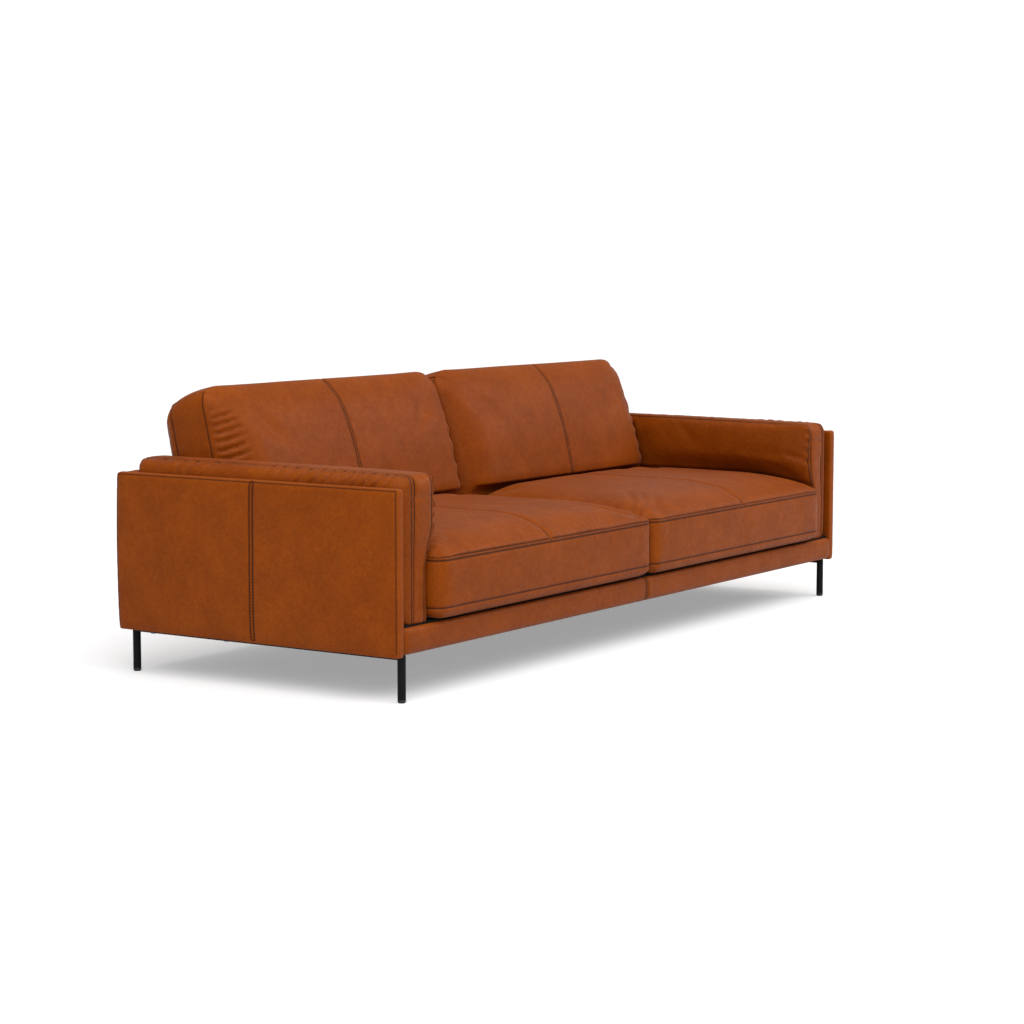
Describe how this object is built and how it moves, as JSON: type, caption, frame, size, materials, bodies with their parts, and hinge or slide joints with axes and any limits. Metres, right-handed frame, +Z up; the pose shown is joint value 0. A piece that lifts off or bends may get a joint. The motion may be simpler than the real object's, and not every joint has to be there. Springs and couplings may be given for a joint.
{
  "type": "three-seat sofa",
  "caption": "Wide low sofa in tan leather: thin padded side and back panels, loose seat, back and arm cushions, slim black metal legs.",
  "frame": {"origin": "on the floor, under the middle of the whole sofa's bounding box", "axes": "+X to the sitter's left along the sofa, -Y is the front, +Z up"},
  "size_m": [2.5, 0.97, 0.79],
  "materials": {
    "leather": "semi-aniline, satin",
    "black_metal": "satin powder coat",
    "glide_plastic": "matt",
    "fastener_steel": "zinc plated",
    "plywood": "raw birch plywood",
    "beech": "raw hardwood",
    "spring_steel": "oiled spring wire",
    "black_cloth": "non-woven",
    "foam": "open-cell foam with wadding",
    "fibre_fill": "fibre and feather fill in a liner",
    "zip_tape": "woven zip tape"
  },
  "bodies": {
    "frame": {"left_leg_bar": "black_metal", "right_leg_bar": "black_metal", "front_left_leg": "black_metal", "rear_left_leg": "black_metal", "front_right_leg": "black_metal", "rear_right_leg": "black_metal", "glides": "glide_plastic", "leg_screws": "fastener_steel", "left_side_core": "plywood", "right_side_core": "plywood", "left_side_cover": "leather", "right_side_cover": "leather", "back_core": "plywood", "back_panel_cover": "leather", "front_rail_core": "beech", "front_rail_cover": "leather", "rear_rail": "beech", "left_end_rail": "beech", "right_end_rail": "beech", "centre_stretcher": "beech", "corner_blocks": "beech", "left_springs": "spring_steel", "right_springs": "spring_steel", "spring_clips": "spring_steel", "deck_pad": "black_cloth", "dust_cloth": "black_cloth", "frame_bolts": "fastener_steel", "left_arm_cover": "leather", "right_arm_cover": "leather", "left_arm_foam": "foam", "right_arm_foam": "foam", "left_arm_zip": "zip_tape", "right_arm_zip": "zip_tape"},
    "left_seat_cushion": {"left_seat_cover": "leather", "left_seat_foam": "foam", "left_seat_zip": "zip_tape"},
    "left_back_cushion": {"left_back_cover": "leather", "left_back_fill": "fibre_fill", "left_back_zip": "zip_tape"},
    "right_seat_cushion": {"right_seat_cover": "leather", "right_seat_foam": "foam", "right_seat_zip": "zip_tape"},
    "right_back_cushion": {"right_back_cover": "leather", "right_back_fill": "fibre_fill", "right_back_zip": "zip_tape"}
  },
  "joints": [
    {"name": "left_seat_pull_out", "type": "slide", "parent": "frame", "child": "left_seat_cushion", "axis": [0, -1, 0], "range_m": [0, 0.72]},
    {"name": "left_back_lift_off", "type": "slide", "parent": "frame", "child": "left_back_cushion", "axis": [0, 0.225, 0.9744], "range_m": [0, 0.4]},
    {"name": "right_seat_pull_out", "type": "slide", "parent": "frame", "child": "right_seat_cushion", "axis": [0, -1, 0], "range_m": [0, 0.72]},
    {"name": "right_back_lift_off", "type": "slide", "parent": "frame", "child": "right_back_cushion", "axis": [0, 0.225, 0.9744], "range_m": [0, 0.4]}
  ]
}
